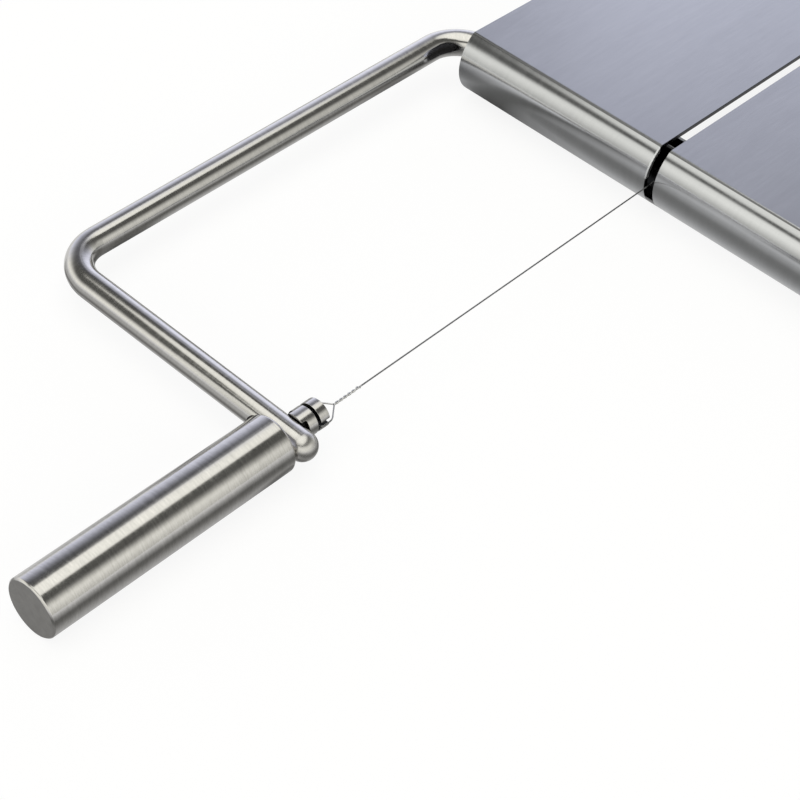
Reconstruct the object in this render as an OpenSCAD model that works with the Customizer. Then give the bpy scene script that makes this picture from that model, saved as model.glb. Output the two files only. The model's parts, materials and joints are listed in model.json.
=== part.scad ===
/* [Board] */
// Thickness of the stainless sheet
sheet_t = 1.2; // [0.8:0.1:1.6]
// Outer diameter of the two rolled edges
roll_d = 25; // [24:0.5:30]
// Height of the sheet's top face above the axes of the rolls
sheet_rise = 10; // [9:0.25:10.5]
// Outer radius of the crease between the flat sheet and a roll
crease_r = 1.5; // [1.4:0.1:3]
// Where a roll ends, in degrees round from its top
roll_end = 266; // [240:1:270]
// Distance between the axes of the two rolls
roll_spacing = 110; // [90:1:114]
// Length of the board from the slot's middle to its left end
board_left = 71.5; // [60:0.5:78]
// Length of the board from the slot's middle to its right end
board_right = 133.5; // [80:0.5:180]
// Width of the slot that the wire drops into
slot_w = 3; // [2:0.1:5]
// How far the slot comes down round a roll, in degrees from its top
slot_low = 118; // [105:1:130]

/* [Arm] */
// Diameter of the arm's rod
rod_d = 8; // [7:0.5:9]
// From the wire to the middle of the long leg
arm_side = 83.5; // [80:0.5:95]
// From the hinge axis to the middle of the cross leg
arm_reach = 153.4; // [152:0.2:180]
// Middle radius of the rod's two bends
bend_r = 12; // [9:0.5:14]
// From the stud's axis to the tip of the rod's round end
rod_tip = 9.4; // [8:0.1:14]
// How far the pivot leg runs on past the wire
pivot_tip = 20.5; // [20:0.5:40]

/* [Handle] */
// Diameter of the handle
handle_d = 16; // [14:0.5:20]
// Length of the handle
handle_l = 74.8; // [60:0.2:110]
// Chamfer at the handle's free end
handle_chamfer = 0.5; // [0.2:0.1:1]
// Rounding at the handle's end beside the rod
handle_round = 0.8; // [0.3:0.1:1.5]
// Depth of the tapped hole in the handle
tap_depth = 30; // [24:1:50]

/* [Tension stud] */
// Diameter of the stud's disc and sleeve
stud_d = 8; // [7.5:0.1:9]
// Thickness of the disc that holds the wire's eye
disc_t = 2.9; // [2:0.1:4]
// Width of the groove behind the disc
groove_w = 1; // [0.8:0.1:1.6]
// Diameter of the neck at the bottom of the groove
neck_d = 4.8; // [4.4:0.1:5.2]
// Width of the slot across the disc
disc_slot_w = 1.8; // [1.2:0.1:2.4]
// Length of the sleeve between the groove and the saddle's floor
sleeve_l = 2.8; // [2:0.1:5]
// Width of the saddle that straddles the rod
saddle_w = 6.6; // [6:0.1:6.8]
// How far the saddle's two lips reach down beside the rod
lip_l = 1.5; // [0.8:0.1:1.6]
// Diameter of the threaded shank
shank_d = 5; // [4:0.5:5]
// Length of the shank inside the handle
shank_l = 22; // [15:1:23]

/* [Wire] */
// Diameter of the cutting wire
wire_d = 0.4; // [0.3:0.05:0.6]
// From the disc's front face to the wire's twist
eye_l = 5.2; // [4:0.1:8]
// Length of the twist
twist_l = 9.4; // [6:0.1:14]
// Depth of the flat that the ferrule seats on, behind the pivot leg
ferrule_flat = 0.3; // [0.1:0.1:0.8]
// Diameter of the ferrule that anchors the wire
ferrule_d = 2.4; // [2:0.1:3]
// Length of the ferrule
ferrule_l = 3; // [2:0.1:4]

/* [Hinge and plugs] */
// Length of each hinge bush
bush_l = 8; // [5:0.5:9]
// From the slot's edge to the inner bush
bush_gap = 6; // [4:0.5:9]
// Length of each end plug
plug_l = 6; // [4:0.5:12]
// How far plugs and the left bush sit inside the ends of the rolls
end_recess = 1; // [0.5:0.1:3]
// Diameter of the thrust washer
washer_d = 15; // [13:0.5:18]
// Thickness of the thrust washer
washer_t = 0.8; // [0.5:0.1:1.2]
// Thickness of the retaining ring
ring_t = 0.8; // [0.6:0.1:1]
// Outer diameter of the retaining ring
ring_d = 12; // [11:0.5:14]
// Depth of the ring's groove in the pivot leg
ring_groove = 0.7; // [0.5:0.1:0.9]
// How much narrower the ring's mouth is than the groove's bottom
ring_grip = 1; // [0.5:0.1:2]

/* [Fits] */
// Clearance round shafts that turn or slide in a hole
run_fit = 0.05; // [0.02:0.01:0.1]
// Clearance round bushes and plugs inside the rolls
seat_fit = 0.04; // [0.02:0.01:0.1]
// Gap between faces that pass each other
face_gap = 0.3; // [0.2:0.05:0.4]
// Height that the handle's free end keeps above the table
rest_gap = 0.1; // [0.05:0.05:0.3]

/* [Hidden] */
$fn = 96;
wire_fn = 24;

roll_r = roll_d / 2;
rod_r = rod_d / 2;
handle_r = handle_d / 2;
stud_r = stud_d / 2;
shank_r = shank_d / 2;
wire_r = wire_d / 2;
past = 1;

// The crease's arc touches the flat sheet and, further round, the roll
crease_z = sheet_rise - crease_r;
crease_y = -sqrt(pow(roll_r - crease_r, 2) - pow(crease_z, 2));
crease_turn = atan2(-crease_y, crease_z);
slot_floor = roll_r * cos(slot_low);
far_side = roll_spacing + roll_r;

// Distances along the stud's axis, measured from the middle of the cross leg
saddle_floor = rod_r + face_gap;
lip_end = saddle_floor - lip_l;
sleeve_end = saddle_floor + sleeve_l;
disc_back = sleeve_end + groove_w;
disc_front = disc_back + disc_t;
eye_tip = disc_front + eye_l;
twist_end = eye_tip + twist_l;
handle_face = -rod_r - face_gap;
handle_end = handle_face - handle_l;
shank_end = handle_face - shank_l;
groove_mid = sleeve_end + groove_w / 2;

// Distances along the hinge axis
bush_x = slot_w / 2 + bush_gap;
washer_x = bush_x + bush_l;
ring_x = washer_x + washer_t + face_gap;
left_bush_x = max(-board_left, bend_r - arm_side) + end_recess;

// Where the wire comes out of the pivot leg and meets its ferrule
ferrule_seat = rod_r - ferrule_flat;
wire_hole_r = wire_r + run_fit;

// At rest the arm leans down until the handle's free end is just above the table
lean_arm = arm_reach - handle_end - handle_chamfer;
lean_room = roll_r - rest_gap;
lean = asin(lean_room / norm([lean_arm, handle_r])) - atan2(handle_r, lean_arm);

// The frame's origin is on the table, under the middle of the whole object
handle_tail = (arm_reach - handle_end) * cos(lean) + (handle_r - handle_chamfer) * sin(lean);
mid_x = (board_right - arm_side - rod_r) / 2;
mid_y = (far_side - handle_tail) / 2;

// Point at an angle from the top of a roll, turning towards the handle
function round_roll(angle, r) = [-r * sin(angle), r * cos(angle)];

// From the hinge's own frame to the frame on the table
module on_table() {
    translate([-mid_x, -mid_y, roll_r]) children();
}

// The arm's frame: hinge axis along X, legs towards -Y, leaning to the table
module on_arm() {
    on_table() rotate([lean, 0, 0]) children();
}

// The stud's frame: the stud's axis along Z, from the handle to the hinge
module on_stud() {
    on_arm() translate([0, -arm_reach, 0]) rotate([-90, 0, 0]) children();
}

// Outline in the Y and Z directions, drawn out along X
module along_x(from, to) {
    translate([from, 0, 0]) rotate([90, 0, 90]) linear_extrude(to - from) children();
}

// Filled outline of a roll with its crease and flat top, drawn in from the sheet's outside
module filled_roll(inset) {
    difference() {
        circle(roll_r - inset);
        translate([-roll_d, sheet_rise - inset]) square([2 * roll_d, roll_d]);
        // Beyond the crease's centre only the crease's own arc is left
        translate([crease_y, crease_z]) polygon([
            [0, 0],
            round_roll(0, roll_r),
            round_roll(crease_turn / 2, roll_r),
            round_roll(crease_turn, roll_r)
        ]);
    }
    translate([crease_y, crease_z]) circle(crease_r - inset);
}

// Section of the sheet where it bends round one roll, with the mouth that its end leaves open
module rolled_edge() {
    difference() {
        filled_roll(0);
        filled_roll(sheet_t);
        polygon([
            [0, 0],
            round_roll(roll_end, roll_d),
            [roll_d, sheet_rise - sheet_t],
            [0, sheet_rise - sheet_t]
        ]);
    }
}

module board() {
    color("silver") on_table() difference() {
        along_x(-board_left, board_right) {
            rolled_edge();
            translate([roll_spacing, 0]) mirror([1, 0]) rolled_edge();
            translate([crease_y, sheet_rise - sheet_t])
                square([roll_spacing - 2 * crease_y, sheet_t]);
        }
        along_x(-slot_w / 2, slot_w / 2)
            translate([-roll_d, slot_floor])
                square([roll_spacing + 2 * roll_d, roll_d]);
    }
}

module hinge_bush(from) {
    on_table() difference() {
        along_x(from, from + bush_l) filled_roll(sheet_t + seat_fit);
        along_x(from - past, from + bush_l + past) circle(rod_r + run_fit);
    }
}

module left_bush() {
    color("dimgray") hinge_bush(left_bush_x);
}

module inner_bush() {
    color("dimgray") hinge_bush(bush_x);
}

module thrust_washer() {
    color("gainsboro") on_table() difference() {
        along_x(washer_x, washer_x + washer_t) circle(washer_d / 2);
        along_x(washer_x - past, washer_x + washer_t + past) circle(rod_r + run_fit);
    }
}

module front_end_plug() {
    color("dimgray") on_table()
        along_x(board_right - end_recess - plug_l, board_right - end_recess) filled_roll(sheet_t + seat_fit);
}

module rear_plug(from) {
    color("dimgray") on_table()
        along_x(from, from + plug_l)
            translate([roll_spacing, 0]) mirror([1, 0]) filled_roll(sheet_t + seat_fit);
}

module rear_left_plug() {
    rear_plug(end_recess - board_left);
}

module rear_right_plug() {
    rear_plug(board_right - end_recess - plug_l);
}

// Quarter bend of the rod, from its start leg to its end leg
module rod_bend(start) {
    rotate([0, 0, start]) rotate_extrude(angle = 90) translate([bend_r, 0]) circle(rod_r);
}

// Rod from one point to another along X or Y
module rod_along_x(from, to) {
    translate([from, 0, 0]) rotate([0, 90, 0]) cylinder(h = to - from, r = rod_r);
}

module arm_rod() {
    bend_x = bend_r - arm_side;
    round_x = rod_tip - rod_r;
    color("silver") on_arm() difference() {
        union() {
            rod_along_x(bend_x, pivot_tip);
            translate([bend_x, -bend_r, 0]) rod_bend(90);
            translate([-arm_side, -bend_r, 0])
                rotate([90, 0, 0]) cylinder(h = arm_reach - 2 * bend_r, r = rod_r);
            translate([bend_x, bend_r - arm_reach, 0]) rod_bend(180);
            translate([0, -arm_reach, 0]) rod_along_x(bend_x, round_x);
            translate([round_x, -arm_reach, 0]) rotate([0, 90, 0]) rotate_extrude() intersection() {
                circle(rod_r);
                square(rod_r);
            }
        }
        // Hole for the stud's shank
        translate([0, past + rod_r - arm_reach, 0])
            rotate([90, 0, 0]) cylinder(h = 2 * (rod_r + past), r = shank_r + run_fit);
        // Hole for the wire, with a flat behind it for the ferrule
        translate([0, rod_r + past, 0])
            rotate([90, 0, 0]) cylinder(h = 2 * (rod_r + past), r = wire_hole_r);
        translate([0, ferrule_seat, 0])
            rotate([-90, 0, 0]) cylinder(h = rod_r, r = ferrule_d / 2 + face_gap);
        // Groove for the retaining ring
        translate([ring_x - run_fit, 0, 0]) rotate([0, 90, 0]) difference() {
            cylinder(h = ring_t + 2 * run_fit, r = rod_r + past);
            cylinder(h = ring_t + 2 * run_fit, r = rod_r - ring_groove);
        }
    }
}

module retaining_ring() {
    mouth = rod_d - 2 * ring_groove - ring_grip;
    color("dimgray") on_arm() difference() {
        along_x(ring_x, ring_x + ring_t) circle(ring_d / 2);
        along_x(ring_x - past, ring_x + ring_t + past) circle(rod_r - ring_groove + run_fit);
        translate([ring_x - past, -mouth / 2, -ring_d]) cube([ring_t + 2 * past, mouth, ring_d]);
    }
}

module wire_ferrule() {
    color("gainsboro") on_arm() translate([0, ferrule_seat, 0]) rotate([-90, 0, 0]) difference() {
        cylinder(h = ferrule_l, r = ferrule_d / 2);
        translate([0, 0, -past]) cylinder(h = ferrule_l + 2 * past, r = wire_hole_r);
    }
}

// Straight stretch of wire between two points of the arm's plane, a little longer so that bends close
module strand(from, to) {
    run = to - from;
    turn = atan2(run[0], run[1]);
    translate([from[0] - wire_r * sin(turn), 0, from[1] - wire_r * cos(turn)])
        rotate([0, turn, 0]) cylinder(h = norm(run) + wire_d, r = wire_r, $fn = wire_fn);
}

module cutting_wire() {
    eye_r = neck_d / 2 + wire_d;
    rim_r = stud_r + wire_d;
    color("gray") on_stud() {
        // Straight stretch, from the ferrule to the twist
        translate([0, 0, twist_end])
            cylinder(h = arm_reach + ferrule_seat + ferrule_l - twist_end, r = wire_r, $fn = wire_fn);
        // The twist
        translate([0, 0, eye_tip]) cylinder(h = twist_l, r = wire_d, $fn = wire_fn);
        // The eye: two strands over the disc's rim into the groove, and a half turn round the neck
        for (side = [-1, 1]) {
            strand([0, eye_tip], [side * rim_r, disc_front]);
            strand([side * rim_r, disc_front], [side * eye_r, groove_mid]);
        }
        translate([0, 0, groove_mid])
            rotate_extrude(angle = 180) translate([eye_r, 0]) circle(wire_r, $fn = wire_fn);
    }
}

module tension_stud() {
    color("silver") on_stud() difference() {
        union() {
            translate([0, 0, disc_back]) cylinder(h = disc_t, r = stud_r);
            translate([0, 0, lip_end]) cylinder(h = disc_back - lip_end, r = neck_d / 2);
            translate([0, 0, lip_end]) cylinder(h = sleeve_end - lip_end, r = stud_r);
            translate([0, 0, shank_end]) cylinder(h = lip_end - shank_end, r = shank_r);
        }
        // Slot across the disc for the two strands of the eye
        translate([-stud_r - past, -disc_slot_w / 2, disc_back])
            cube([2 * (stud_r + past), disc_slot_w, disc_t + past]);
        // Saddle that straddles the rod, cut round the shank
        difference() {
            translate([-stud_r - past, -saddle_w / 2, lip_end - past])
                cube([2 * (stud_r + past), saddle_w, saddle_floor - lip_end + past]);
            translate([0, 0, shank_end]) cylinder(h = saddle_floor - shank_end, r = shank_r);
        }
    }
}

// Half outline of the handle, with a rounding at the rod's end and a chamfer at the free end
module handle_outline() {
    translate([0, handle_end]) polygon([
        [0, 0],
        [handle_r - handle_chamfer, 0],
        [handle_r, handle_chamfer],
        [handle_r, handle_l - handle_round],
        [handle_r - handle_round, handle_l],
        [0, handle_l]
    ]);
    intersection() {
        translate([handle_r - handle_round, handle_face - handle_round]) circle(handle_round);
        translate([0, handle_end]) square([handle_r, handle_l]);
    }
}

module handle() {
    color("silver") on_stud() difference() {
        rotate_extrude() handle_outline();
        translate([0, 0, handle_face - tap_depth]) cylinder(h = tap_depth + past, r = shank_r + run_fit);
    }
}

board();
left_bush();
inner_bush();
thrust_washer();
front_end_plug();
rear_left_plug();
rear_right_plug();
arm_rod();
retaining_ring();
wire_ferrule();
cutting_wire();
tension_stud();
handle();
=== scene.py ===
# %% [markdown]
# # A wire slicer in satin stainless steel
# The real slicer is a small board of sheet steel whose two long edges are rolled round. A bent rod is
# hinged in the front roll, and a thin wire runs from the hinge to a stud that the handle pulls tight.
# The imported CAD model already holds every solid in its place, in metres. It is loaded as it is, and
# the cells below only add what CAD has no words for: soft edges, the twisted wire, finishes and light.

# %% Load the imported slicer
import json
import math

import bmesh
import bpy
from mathutils import Matrix, Vector
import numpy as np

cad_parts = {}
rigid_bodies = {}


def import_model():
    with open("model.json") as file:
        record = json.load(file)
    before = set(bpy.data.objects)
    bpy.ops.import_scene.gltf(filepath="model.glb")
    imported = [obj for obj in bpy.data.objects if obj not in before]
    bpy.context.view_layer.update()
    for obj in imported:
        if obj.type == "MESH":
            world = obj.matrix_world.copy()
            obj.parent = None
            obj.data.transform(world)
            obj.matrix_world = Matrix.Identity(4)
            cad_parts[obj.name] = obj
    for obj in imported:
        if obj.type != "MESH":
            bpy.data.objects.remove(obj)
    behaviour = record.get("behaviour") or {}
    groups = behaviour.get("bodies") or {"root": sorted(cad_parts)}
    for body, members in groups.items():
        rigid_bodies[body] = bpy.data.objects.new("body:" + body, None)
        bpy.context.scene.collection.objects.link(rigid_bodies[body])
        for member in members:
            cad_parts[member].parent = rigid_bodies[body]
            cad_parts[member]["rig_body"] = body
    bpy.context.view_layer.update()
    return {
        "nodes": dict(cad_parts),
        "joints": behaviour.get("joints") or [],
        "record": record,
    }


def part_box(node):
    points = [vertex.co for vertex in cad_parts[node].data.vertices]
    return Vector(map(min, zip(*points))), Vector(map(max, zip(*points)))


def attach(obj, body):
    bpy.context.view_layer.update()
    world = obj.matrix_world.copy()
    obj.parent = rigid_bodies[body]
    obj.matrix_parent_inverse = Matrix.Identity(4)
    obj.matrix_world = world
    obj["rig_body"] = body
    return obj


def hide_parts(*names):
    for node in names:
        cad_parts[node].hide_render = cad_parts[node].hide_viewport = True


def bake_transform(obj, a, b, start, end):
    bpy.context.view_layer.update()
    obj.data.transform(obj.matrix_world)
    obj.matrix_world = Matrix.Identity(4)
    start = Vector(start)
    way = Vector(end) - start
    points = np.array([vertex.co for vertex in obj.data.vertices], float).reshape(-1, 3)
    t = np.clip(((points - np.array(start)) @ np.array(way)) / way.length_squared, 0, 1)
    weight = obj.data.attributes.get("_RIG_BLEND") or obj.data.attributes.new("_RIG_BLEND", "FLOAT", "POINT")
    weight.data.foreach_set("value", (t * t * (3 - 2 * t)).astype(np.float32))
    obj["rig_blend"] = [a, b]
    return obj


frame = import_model()
scene = bpy.context.scene
# The plain colours that the pack wrote make way for real finishes under the same names
for node in frame["nodes"].values():
    node.data.materials.clear()
for plain in list(bpy.data.materials):
    bpy.data.materials.remove(plain)

# %% [markdown]
# ## Units and the two frames
# The board lies square to the table, but the arm leans down a little from the hinge until the handle's
# free end almost touches the table. Everything on the arm is easier to place along the arm itself, so a
# helper turns "so far from the cross leg, so far aside" into a point of the scene.

# %% Places on the arm
MM = 0.001
hinge_joint = next(j for j in frame["joints"] if j["name"] == "arm_hinge")
handle_joint = next(j for j in frame["joints"] if j["name"] == "handle_turn")
hinge_axis = Vector(hinge_joint["pos_m"])
stud_foot = Vector(handle_joint["pos_m"])
along_arm = Vector(handle_joint["axis"]).normalized()
across_arm = Vector((1, 0, 0))
above_arm = across_arm.cross(along_arm)
LEAN = math.asin(along_arm.z)


def on_stud(station, aside=0.0, above=0.0):
    """Point at a distance along the stud's axis from the cross leg, in metres."""
    return stud_foot + along_arm * station + across_arm * aside + above_arm * above


print("hinge at", tuple(round(c, 4) for c in hinge_axis), "lean", round(math.degrees(LEAN), 2), "degrees")

# %% [markdown]
# ## The camera first
# A render can only be compared with a photograph when both look from the same place, so the camera
# comes before any finish. It could be dragged into place by eye. Here it was worked out from the edges
# of the rod, the handle and the rolled edge, whose sizes are known, and then written as a place, a
# point on the table that it looks at, and a small turn about its own line of sight.

# %% Camera at the photograph's angle
CAMERA_PLACE = Vector((0.21976, -0.36126, 0.37383))
CAMERA_TARGET = Vector((-0.0187, -0.0616, 0.0))
CAMERA_TURN = math.radians(6.86)
LENS_MM = 95.13
SENSOR_MM = 36.0
NEAREST_SEEN = 0.01
FURTHEST_SEEN = 30.0

camera_data = bpy.data.cameras.new("camera")
camera_data.sensor_width = SENSOR_MM
camera_data.lens = LENS_MM
camera_data.clip_start = NEAREST_SEEN
camera_data.clip_end = FURTHEST_SEEN
camera = bpy.data.objects.new("camera", camera_data)
scene.collection.objects.link(camera)
look = (CAMERA_TARGET - CAMERA_PLACE).to_track_quat("-Z", "Y").to_matrix().to_4x4()
camera.matrix_world = Matrix.Translation(CAMERA_PLACE) @ look @ Matrix.Rotation(CAMERA_TURN, 4, "Z")
scene.camera = camera
scene.view_settings.view_transform = "Standard"
print("camera distance", round((CAMERA_TARGET - CAMERA_PLACE).length, 3), "m")

# %% [markdown]
# ## Small helpers for node trees
# Node trees are easy to read when each node is made, filled in and wired in one line. So an input may
# be given as a plain value or as another node's output, and each helper hands on its own output. A tree
# is then read like a sum: the innermost call is the first node.


# %% Node helpers
def fill(node, values):
    """Fills a node's inputs by name or number: a plain value is set, another node's output is linked."""
    for name, value in values.items():
        if isinstance(value, bpy.types.NodeSocket):
            node.id_data.links.new(value, node.inputs[name])
        else:
            node.inputs[name].default_value = value
    return node


def add_node(tree, kind, values=None, **settings):
    """New node of that kind, with its own settings and filled inputs."""
    node = tree.nodes.new(kind)
    for name, value in settings.items():
        setattr(node, name, value)
    return fill(node, values or {})


def maths(tree, operation, *inputs):
    """Output of a Math node."""
    return add_node(tree, "ShaderNodeMath", dict(enumerate(inputs)), operation=operation).outputs[0]


def vector_maths(tree, operation, *inputs):
    """Output of a Vector Math node: a number for a length, distance or dot product, else a vector."""
    node = add_node(tree, "ShaderNodeVectorMath", dict(enumerate(inputs)), operation=operation)
    return node.outputs["Value" if operation in ("LENGTH", "DISTANCE", "DOT_PRODUCT") else "Vector"]


def scaled(tree, vector, share):
    """Output with a vector times a number."""
    return add_node(tree, "ShaderNodeVectorMath", {0: vector, "Scale": share}, operation="SCALE").outputs[0]


def split(tree, vector):
    """The outputs X, Y and Z of a vector."""
    return add_node(tree, "ShaderNodeSeparateXYZ", {0: vector}).outputs


print("helpers that make, fill and link nodes are ready")


# %% Helpers for ranges, curves and noise
def map_range(tree, value, low, high, to_low=0.0, to_high=1.0, kind="LINEAR"):
    """Output that goes from to_low to to_high while a value goes from low to high."""
    values = {"Value": value, "From Min": low, "From Max": high, "To Min": to_low, "To Max": to_high}
    return add_node(tree, "ShaderNodeMapRange", values, interpolation_type=kind).outputs[0]


def within(tree, value, low, high):
    """Output that is 1 where a value lies between low and high, and 0 elsewhere."""
    return maths(tree, "COMPARE", value, (low + high) / 2, (high - low) / 2)


def mix(tree, factor, first, second):
    """Output that goes from first to second while factor goes from 0 to 1."""
    values = {"Factor": factor, "A": first, "B": second}
    return add_node(tree, "ShaderNodeMix", values, data_type="FLOAT").outputs[0]


def grey_curve(tree, value, stops, kind="LINEAR"):
    """Output with the grey that stops of (position, grey) give for a value from 0 to 1."""
    node = add_node(tree, "ShaderNodeValToRGB", {0: value})
    ramp = node.color_ramp
    ramp.interpolation = kind
    while len(ramp.elements) > 1:
        ramp.elements.remove(ramp.elements[-1])
    for number, (position, grey) in enumerate(stops):
        element = ramp.elements[0] if number == 0 else ramp.elements.new(position)
        element.position = position
        element.color = (grey, grey, grey, 1)
    return node.outputs["Color"]


def noise(tree, place, scale, detail, roughness):
    """Output with noise from 0 to 1 at a place."""
    values = {"Vector": place, "Scale": scale, "Detail": detail, "Roughness": roughness}
    return add_node(tree, "ShaderNodeTexNoise", values).outputs["Fac"]


def object_place(tree):
    """Output with the place of a point of the surface, in metres."""
    return add_node(tree, "ShaderNodeTexCoord").outputs["Object"]


print("helpers for ranges, curves and noise are ready")

# %% [markdown]
# ## A studio made of light and dark
# Bare steel has hardly any colour of its own. What the eye reads as steel is the room in it: a big
# soft light overhead, a dark gap round it, and the pale surround below. Lamps with real shapes could
# give that, but each would need its own place and its own shadows. Here the world shader paints the
# room in degrees from the zenith: where the overhead light ends, where the dark gap gives way to the
# surround, and how bright each is, in each direction round the compass.

# %% The room, in degrees
# Stops are (direction, value). Direction 0 is +Y and 90 is +X. Angles are from the zenith.
LIGHT_LEVELS = (1.38, 1.12)
LIGHT_FALL = (26, 38)
LIGHT_SOFT = 2.0
LIGHT_ENDS = (
    (-180, 45), (-151, 48), (-141, 48), (-137, 41), (-130, 37), (-106, 36), (-81, 33), (-69, 31),
    (-59, 27), (-46, 27), (-42.5, 28), (-38.5, 40), (-34, 42), (-25, 40.5), (-14, 38), (-2, 36),
    (10, 32.5), (28, 27), (45, 25), (90, 28), (140, 40), (180, 45),
)
GAP_ENDS = (
    (-180, 52), (-148, 52), (-146.3, 55), (-125, 55), (-64, 44), (-48, 43), (-38, 46), (-30, 45),
    (0, 43), (38, 43), (47, 43), (55, 40), (90, 42), (180, 52),
)
SURROUND_STARTS = (
    (-180, 60), (-148.2, 59), (-146.6, 84), (-125, 82), (-66, 92), (-57, 84), (-50, 76), (-38, 78),
    (-33, 69), (-27, 73), (0, 88), (25, 88), (37, 68), (45, 64), (60, 66), (120, 64), (180, 60),
)
GAP_LEVEL = ((-180, 0.12), (-50, 0.12), (-44, 0.40), (-27, 0.39), (-15, 0.12), (180, 0.12))
SURROUND_LEVEL = (
    (-180, 1.22), (-157, 1.24), (-152, 1.1), (-149, 1.1), (-147, 1.35), (-125, 1.25), (-66, 1.12),
    (-56, 1.28), (-33, 1.4), (0, 1.1), (35, 0.66), (54, 0.68), (60, 1.1), (90, 1.15), (180, 1.22),
)
HORIZON_LEVEL = (
    (-180, 0.45), (-152, 0.5), (-149, 0.6), (-147.5, 1.15), (-125, 1.15), (-66, 1.1), (-56, 1.35),
    (-33, 1.4), (0, 1.1), (35, 0.62), (64, 0.62), (90, 0.9), (124, 1.15), (155, 0.8), (180, 0.45),
)
HORIZON_FALL = (68, 93)
# The light is warm, but cool from one side of the room: the tint follows the cosine from that side
WARM = (1.0, 0.99, 0.925)
COOL = (0.84, 0.86, 1.0)
COOL_SIDE = math.radians(-40)
COOL_RANGE = (0.5, 0.8)
light_ends = [angle for _, angle in LIGHT_ENDS]
print("light reaches", min(light_ends), "to", max(light_ends), "degrees from the zenith")

# %% Studio world
world = bpy.data.worlds.new("studio")
world.use_nodes = True
scene.world = world
sky = world.node_tree
sky.nodes.clear()


def ray_angles():
    """Outputs with the ray's direction, its degrees from the zenith and its share of a full turn."""
    ray = add_node(sky, "ShaderNodeTexCoord").outputs["Generated"]
    parts = split(sky, ray)
    degrees = maths(sky, "DEGREES", maths(sky, "ARCCOSINE", parts["Z"]))
    turn = maths(sky, "ARCTAN2", parts["X"], parts["Y"])
    return ray, degrees, map_range(sky, turn, -math.pi, math.pi)


ray_direction, from_zenith, compass = ray_angles()


def by_compass(stops):
    """Output with the value that the stops give for the ray's direction round the compass."""
    top = max(value for _, value in stops)
    greys = [((turn + 180) / 360, value / top) for turn, value in stops]
    return maths(sky, "MULTIPLY", grey_curve(sky, compass, greys, "EASE"), top)


past_light = maths(sky, "SUBTRACT", from_zenith, by_compass(LIGHT_ENDS))
light_level = map_range(sky, from_zenith, *LIGHT_FALL, *LIGHT_LEVELS)
overhead = map_range(sky, past_light, LIGHT_SOFT, -LIGHT_SOFT, 0.0, light_level, "SMOOTHSTEP")
falling = map_range(sky, from_zenith, *HORIZON_FALL)
surround_level = mix(sky, falling, by_compass(SURROUND_LEVEL), by_compass(HORIZON_LEVEL))
gap_and_surround = (by_compass(GAP_ENDS), by_compass(SURROUND_STARTS), by_compass(GAP_LEVEL), surround_level)
surround = map_range(sky, from_zenith, *gap_and_surround, "SMOOTHSTEP")
cool_direction = (math.sin(COOL_SIDE), math.cos(COOL_SIDE), 0)
coolness = map_range(sky, vector_maths(sky, "DOT_PRODUCT", ray_direction, cool_direction), *COOL_RANGE)
# Inputs 6 and 7 of a Mix node are the two colours that it goes between
tint = add_node(sky, "ShaderNodeMix", {0: coolness, 6: (*WARM, 1), 7: (*COOL, 1)}, data_type="RGBA")
strength = maths(sky, "MAXIMUM", overhead, surround)
light = add_node(sky, "ShaderNodeBackground", {"Strength": strength, "Color": tint.outputs["Result"]})
add_node(sky, "ShaderNodeOutputWorld", {"Surface": light.outputs[0]})
print("world nodes:", len(sky.nodes))

# %% [markdown]
# ## The pale table
# The photograph stands on plain white with no shadow to speak of. A floor that is white by colour alone
# would need strong light on the steel too, so the paper is a grey that glows a little: enough for the
# camera to see it white, with a faint shadow left under the steel. Reflections and glass see that glow
# too. In the photograph each bar's underside is pale close in, dark a little further out, and pale
# again beyond, while its far side mirrors white paper. So in reflections the glow follows the distance
# from each bar, on the side that the bar's underside looks at.

# %% Floor
FLOOR_HALF = 3.0
FLOOR_COLOUR = (0.17, 0.17, 0.17, 1)
GLOW_SEEN = 0.87
GLOW_REACH = 0.7
# Distance in millimetres, then the glow that reflections see there
GLOW_BY_WIDE_BAR = (
    (0, 0.5), (8, 0.42), (11, 0.32), (12.5, 0.25), (15, 0.14), (18, 0.07), (22, 0.04), (27, 0.04),
    (37, 0.2), (50, 0.3), (62, 0.4), (76, 0.49), (110, 0.6), (200, 0.72), (700, GLOW_SEEN),
)
GLOW_BY_CROSS_LEG = (
    (0, 0.6), (4, 0.5), (5.5, 0.36), (7, 0.16), (9, 0.07), (10.5, 0.08), (12.5, 0.18), (15.5, 0.32),
    (20, 0.4), (41, 0.47), (60, 0.6), (85, 0.72), (110, 0.82), (700, GLOW_SEEN),
)
ROLL_LIFT = 0.08
GLOW_BY_ROLL = [(far, min(value + ROLL_LIFT, GLOW_SEEN)) for far, value in GLOW_BY_WIDE_BAR]
LEG_SHIFT = 2.5
GLOW_BY_LONG_LEG = [(max(far - LEG_SHIFT, 0.0), value) for far, value in GLOW_BY_WIDE_BAR]
GLOW_BY_HANDLE_END = ((0, 0.16), (22, 0.16), (45, 0.6), (80, 0.82), (700, GLOW_SEEN))
ROD_R = 4.0 * MM
STRIP_START = 45.0 * MM
handle_low, handle_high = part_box("handle")
board_low, board_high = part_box("board")
leg_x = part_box("arm_rod")[0][0] + ROD_R
# Two ends of each bar on the table, the side of it that is toned down, and the glow there
glow_bars = (
    ((stud_foot.x, handle_low[1]), (stud_foot.x, stud_foot.y), (1, 0), GLOW_BY_WIDE_BAR),
    ((leg_x, stud_foot.y + STRIP_START), (leg_x, hinge_axis.y), (1, 0), GLOW_BY_LONG_LEG),
    ((leg_x, hinge_axis.y), (board_high[0], hinge_axis.y), (0, -1), GLOW_BY_ROLL),
    ((leg_x, stud_foot.y), (stud_foot.x, stud_foot.y), (0, -1), GLOW_BY_CROSS_LEG),
    ((handle_low[0], handle_low[1]), (handle_high[0], handle_low[1]), (0, -1), GLOW_BY_HANDLE_END),
)
print("bars that tone the paper down:", len(glow_bars))

# %% Paper that glows for the camera and in reflections
SIDE_SOFT = 4.0 * MM


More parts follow.
